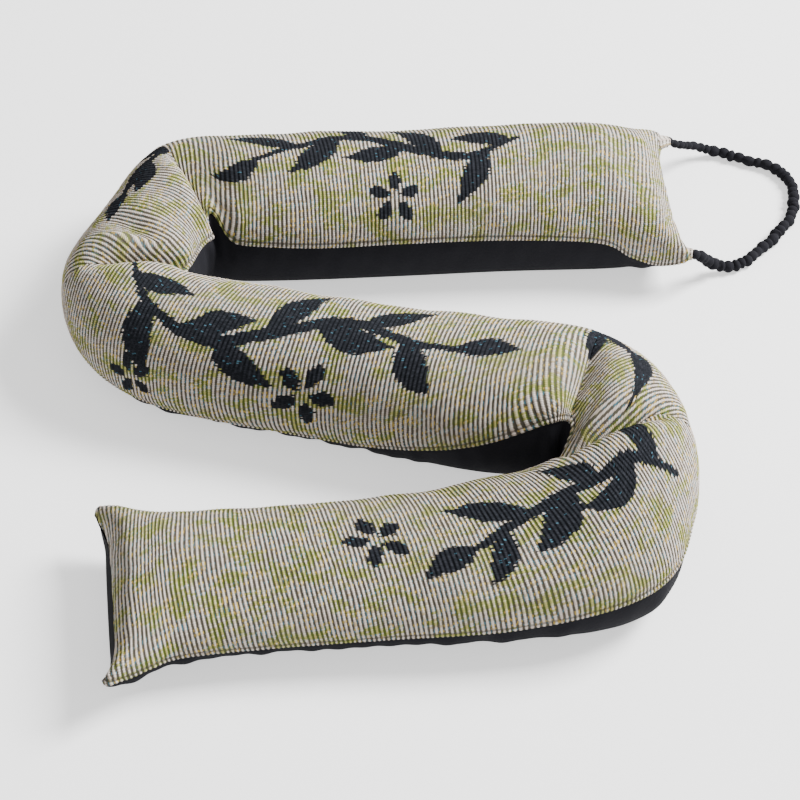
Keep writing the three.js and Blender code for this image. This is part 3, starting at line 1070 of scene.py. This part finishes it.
@dataclass
class FrontCloth:
    """The tapestry front, ribbed across, with its spare length tucked down at the kinks."""

    tube: Tube
    lines: RibLines
    finish: Tapestry = field(default_factory=Tapestry)
    pattern: LeafPattern = field(default_factory=LeafPattern)
    columns: int = 140
    lap: float = 1.2
    lap_edge: float = 0.012
    end_fade: float = 3.0
    relief: float = 0.36
    stitch_inset: float = 2.8
    stitch_dent: float = 0.8
    waves: float = 0.55
    calm_edge: float = 14.0
    waver: float = 0.22
    stitch_width: float = 0.7
    hiding: float = 1.2
    fill: float = 0.8
    parts: tuple[str, ...] = ("front_cloth_by_loop", "front_cloth_middle", "front_cloth_free_end")

    def place(self, laid: LaidCloth) -> tuple[Array, dict[str, Array]]:
        """Works out the mesh's points and what its shader reads.

        Args:
            laid: The cloth laid along the tube.

        Returns:
            Points as rings by columns by three, and the numbers for each point by name.
        """
        shares, stations = laid.shares, self.tube.stations
        skin = self.tube.skin(Panel.FRONT, shares)
        along = laid.along()
        points = sample(skin, stations, along)
        out = normalised(sample(self.tube.outward(skin), stations, along))
        girth = running(np.linalg.norm(np.diff(skin, axis=1), axis=2))
        across = sample(girth, stations, along)
        ahead = normalised(sample(normalised(np.gradient(skin, axis=0)), stations, along))
        inside, wall = laid.folded()
        past = laid.past_ends()
        edge = np.minimum(shares, 1.0 - shares)[None]
        shown = np.exp(-(inside + np.abs(past)) / self.hiding)
        rings = laid.rings()
        rib = rings / self.lines.pitch
        crest = 0.5 - 0.5 * np.cos(2.0 * math.pi * rib)
        uneven = 1.0 + 0.25 * ripple(rings[:, None], across, 6.0, 8)
        rise = self.lap * smoothstep(edge, 0.0, self.lap_edge)
        rise = rise + self.relief * crest[:, None] * shown * uneven
        from_end = np.minimum(along, self.tube.length - along)
        rise = rise * (0.2 + 0.8 * smoothstep(from_end, 0.0, self.end_fade))
        deep = laid.tuck * (1.0 - np.exp(-inside / laid.tuck)) * smoothstep(edge, -0.04, 0.05)
        inset = np.minimum(across, sample(girth[:, -1:] - girth, stations, along))
        rise = rise - self.stitch_dent * np.exp(-(((inset - self.stitch_inset) / self.stitch_width) ** 2))
        waves = ripple(rings[:, None], across, 46.0, 3) + 0.6 * ripple(rings[:, None], across, 22.0, 5)
        rise = rise + self.waves * waves * smoothstep(inset, 0.0, self.calm_edge)
        for crease in self.tube.creases:
            rise = rise + crease.relief(points[..., 0], points[..., 1]) * smoothstep(edge, 0.0, 0.1)
        points = points + out * (rise - deep)[..., None]
        gap = 0.5 * wall * (1.0 - np.exp(-inside / 3.0))
        gap = gap + self.waver * ripple(rings[:, None], across, 14.0, 9) * shown
        points = points + ahead * (gap - np.clip(past, -laid.turned_in, laid.turned_in))[..., None]
        rib = np.broadcast_to(rib[:, None], across.shape)
        woven = (np.floor(rib + 0.01) + 0.5) * self.lines.pitch
        motif = self.pattern.depth(woven, across)
        return points, {"rib": rib, "across": across, "motif": motif, "inset": inset}

    def build(self) -> list[bpy.types.Object]:
        """Makes the cloth's three lengths, which meet in the grooves between two ribs."""
        shares = np.linspace(0.0, 1.0, self.columns)
        skin = self.tube.skin(Panel.FRONT, shares)
        laid = self.lines.lay(skin, shares)
        points, layers = self.place(laid)
        material = self.finish.material()
        groove = self.lines.steps_per_rib
        first = int(round(laid.rings()[0] / (self.lines.pitch / groove)))
        cuts = [0]
        for k in range(1, len(self.parts)):
            near = len(points) * k // len(self.parts)
            cuts.append(near - (near + first) % groove)
        cuts.append(len(points) - 1)
        pieces = []
        for name, start, stop in zip(self.parts, cuts[:-1], cuts[1:]):
            mesh = ClothMesh()
            mesh.grid(points[start:stop + 1], **{k: v[start:stop + 1] for k, v in layers.items()})
            piece = mesh.build(name)
            piece.data.materials.append(material)
            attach(piece, BODY)
            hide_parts("front_panel")
            pieces.append(piece)
            LOG.info("%s: %d rings of %d points", name, stop - start + 1, len(shares))
        return pieces


@dataclass
class BackCloth:
    """The plain black back, which wraps the sides and lies flat underneath."""

    tube: Tube
    finish: BlackWeave = field(default_factory=BlackWeave)
    columns: int = 64
    ring_step: float = 1.4
    pucker: float = 0.7
    girth: float = 110.0
    fill: float = 0.8

    def build(self) -> bpy.types.Object:
        """Makes the piece."""
        shares = np.linspace(0.0, 1.0, self.columns)
        skin = self.tube.skin(Panel.BACK, shares)
        every = max(1, round(self.ring_step / self.tube.spacing))
        keep = np.unique(np.concatenate([np.arange(0, len(skin), every), [len(skin) - 1]]))
        along = self.tube.stations[keep][:, None]
        girth = shares[None] * self.girth
        edge = np.minimum(girth, self.girth - girth)
        puckers = ripple(along, 0.12 * girth, 13.0, 11) + 0.8 * ripple(along, girth, 34.0, 12)
        puckers = puckers * smoothstep(edge, 0.0, 6.0) * (1.0 - smoothstep(edge, 10.0, 24.0))
        points = skin[keep] + self.tube.outward(skin)[keep] * (self.pucker * puckers)[..., None]
        mesh = ClothMesh()
        mesh.grid(points, along=along, across=girth)
        piece = mesh.build("back_cloth")
        piece.data.materials.append(self.finish.material())
        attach(piece, BODY)
        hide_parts("back_panel")
        LOG.info("back_cloth: %d rings", len(points))
        return piece


# --- The hanging loop ---------------------------------------------------------------------------


@dataclass
class LoopRoot:
    """A corner of the tapestry gathered round the loop where it is sewn in."""

    name: str
    line: tuple[tuple[float, float, float], ...]
    thick: float
    thin: float = 2.9

    def build(self, finish: bpy.types.Material) -> bpy.types.Object:
        """Makes the piece.

        Args:
            finish: The tapestry's material.

        Returns:
            The new object.
        """
        line = smooth_line(self.line, 40)
        t = np.linspace(0.0, 1.0, len(line))
        radius = self.thin + (self.thick - self.thin) * (1.0 - smoothstep(t, 0.1, 0.95))
        mesh = ClothMesh()
        mesh.tube(line, radius, sides=28, pleats=0.09, taper=0.8)
        piece = mesh.build(self.name)
        piece.data.materials.append(finish)
        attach(piece, BODY)
        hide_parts("front_panel")
        return piece


@dataclass
class HangingLoop:
    """A narrow ruched tube of the back's cloth, which the draught excluder hangs by."""

    finish: BlackWeave = field(default_factory=lambda: BlackWeave("loop_weave"))
    roots: tuple[LoopRoot, ...] = (
        LoopRoot(
            "loop_root_far", ((143.5, 185.6, 25.6), (147, 188.4, 24.8), (150.2, 191, 23.2)), 3.9,
        ),
        LoopRoot(
            "loop_root_near", ((147, 97.6, 22), (151.5, 96.8, 22.3), (155.8, 95.9, 22.6)), 4.6,
        ),
    )
    diameter: float = 5.6
    length: float = 215.0
    gathers: int = 46
    rings: int = 900
    neck: float = 0.72
    swell: float = 0.42
    route: list[tuple[float, float, float]] = field(default_factory=lambda: [
        (148.2, 190.5, 24), (152, 191.5, 22.6), (157, 195.5, 18), (163.5, 202, 12.5),
        (171, 207, 7.5), (178, 209, 4.2), (185, 207, 3.2), (192.5, 203, 3.2), (200, 199.5, 3.2),
        (207.5, 195.5, 3.2), (213.5, 189.5, 3.2), (217, 181, 3.2), (217.5, 172, 3.2),
        (216.5, 163, 3.2), (214.5, 154, 3.2), (210.5, 145.5, 3.2), (205, 137, 3.2),
        (198.5, 128, 3.2), (191.5, 119.5, 3.2), (184, 112.5, 3.2), (176, 109, 3.6), (169, 107, 7),
        (164, 102.5, 13.5), (159.6, 97.6, 20.2), (155, 95.4, 23.4),
    ])

    def build(self) -> bpy.types.Object:
        """Makes the piece."""
        line = smooth_line(self.route, self.rings)
        rng = np.random.default_rng(21)
        t = np.linspace(0.0, 1.0, len(line))
        spread = np.cumsum(rng.uniform(0.6, 1.4, self.gathers))
        bump = np.interp(t, np.concatenate([[0.0], spread / spread[-1]]), np.arange(self.gathers + 1))
        which = np.minimum(bump.astype(int), self.gathers - 1)
        puff = np.abs(np.sin(math.pi * bump))
        size = rng.uniform(0.75, 1.15, self.gathers)[which]
        slim = 1.0 - 0.26 * (1.0 - smoothstep(t, 0.13, 0.2)) - 0.16 * smoothstep(t, 0.93, 1.0)
        radius = self.diameter / 2 * slim * (self.neck + self.swell * size * puff)
        ahead = normalised(np.gradient(line, axis=0))
        aside = normalised(np.cross(ahead, (0.0, 0.0, 1.0)))
        lurch = (rng.uniform(-0.55, 0.55, self.gathers)[which] * puff)[:, None]
        lift = (rng.uniform(0.0, 0.35, self.gathers)[which] * puff)[:, None]
        line = line + aside * lurch + np.array([0.0, 0.0, 1.0]) * lift
        mesh = ClothMesh()
        mesh.tube(line, radius, sides=18)
        piece = mesh.build("hanging_loop_cord")
        piece.data.materials.append(self.finish.material())
        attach(piece, BODY)
        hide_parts("hanging_loop")
        LOG.info("hanging_loop_cord: %d gathers", self.gathers)
        return piece


# --- The studio ---------------------------------------------------------------------------------


@dataclass(frozen=True)
class SoftLight:
    """A square soft light, turned to the middle of the floor, in metres and watts."""

    name: str
    place: tuple[float, float, float]
    size: float
    power: float

    def build(self) -> None:
        """Makes the light."""
        data = bpy.data.lights.new(self.name, "AREA")
        data.size = self.size
        data.energy = self.power
        light = bpy.data.objects.new(self.name, data)
        light.location = self.place
        light.rotation_euler = (-Vector(self.place)).to_track_quat("-Z", "Y").to_euler()
        bpy.context.scene.collection.objects.link(light)


@dataclass
class Studio:
    """The camera, the soft lights and the pale floor."""

    eye: tuple[float, float, float] = (8.0, -880.8, 803.0)
    aim: tuple[float, float, float] = (8.0, 11.0, 0.0)
    lens: float = 111.3
    floor_half: float = 3000.0
    floor_tone: float = 0.6
    floor_glow: float = 0.9
    floor_roughness: float = 0.95
    sky: float = 0.7
    lights: tuple[SoftLight, ...] = (
        SoftLight("key", (1.5, 0.5, 1.5), 0.9, 200.0),
        SoftLight("front_fill", (0.8, -1.8, 1.4), 1.4, 16.0),
    )

    def camera(self) -> None:
        """Sets the camera, looking down over the near side."""
        data = bpy.data.cameras.new("camera")
        data.lens = self.lens
        data.sensor_width = 36.0
        data.clip_end = 50.0
        camera = bpy.data.objects.new("camera", data)
        camera.location = Vector(self.eye) * METRES
        look = Vector(self.aim) - Vector(self.eye)
        camera.rotation_euler = look.to_track_quat("-Z", "Y").to_euler()
        bpy.context.scene.collection.objects.link(camera)
        bpy.context.scene.camera = camera

    def build(self) -> None:
        """Makes the floor and the lights."""
        world = bpy.data.worlds.new("studio")
        world.use_nodes = True
        background = world.node_tree.nodes["Background"]
        background.inputs[0].default_value = (1.0, 1.0, 1.0, 1.0)
        background.inputs[1].default_value = self.sky
        bpy.context.scene.world = world
        mesh = ClothMesh()
        edge = np.array([-self.floor_half, self.floor_half])
        x, y = np.meshgrid(edge, edge)
        mesh.grid(np.stack([x, y, np.zeros_like(x)], axis=-1))
        floor = mesh.build("floor")
        shader = Shader("floor_paper")
        shader.put(shader.surface.inputs["Base Color"], (self.floor_tone,) * 3)
        shader.put(shader.surface.inputs["Emission Color"], (1.0, 1.0, 1.0))
        shader.put(shader.surface.inputs["Emission Strength"], self.floor_glow)
        shader.put(shader.surface.inputs["Roughness"], self.floor_roughness)
        floor.data.materials.append(shader.material)
        for light in self.lights:
            light.build()


def main() -> None:
    """Builds the draught excluder and its studio."""
    logging.basicConfig(level=logging.INFO, format="%(name)s: %(message)s")
    studio = Studio()
    studio.camera()
    tube = Tube()
    front = FrontCloth(tube, RibLines(tube)).build()
    loop = HangingLoop()
    loop.build()
    for root in loop.roots:
        root.build(front[0].data.materials[0])
    BackCloth(tube).build()
    studio.build()


if __name__ == "__main__":
    main()
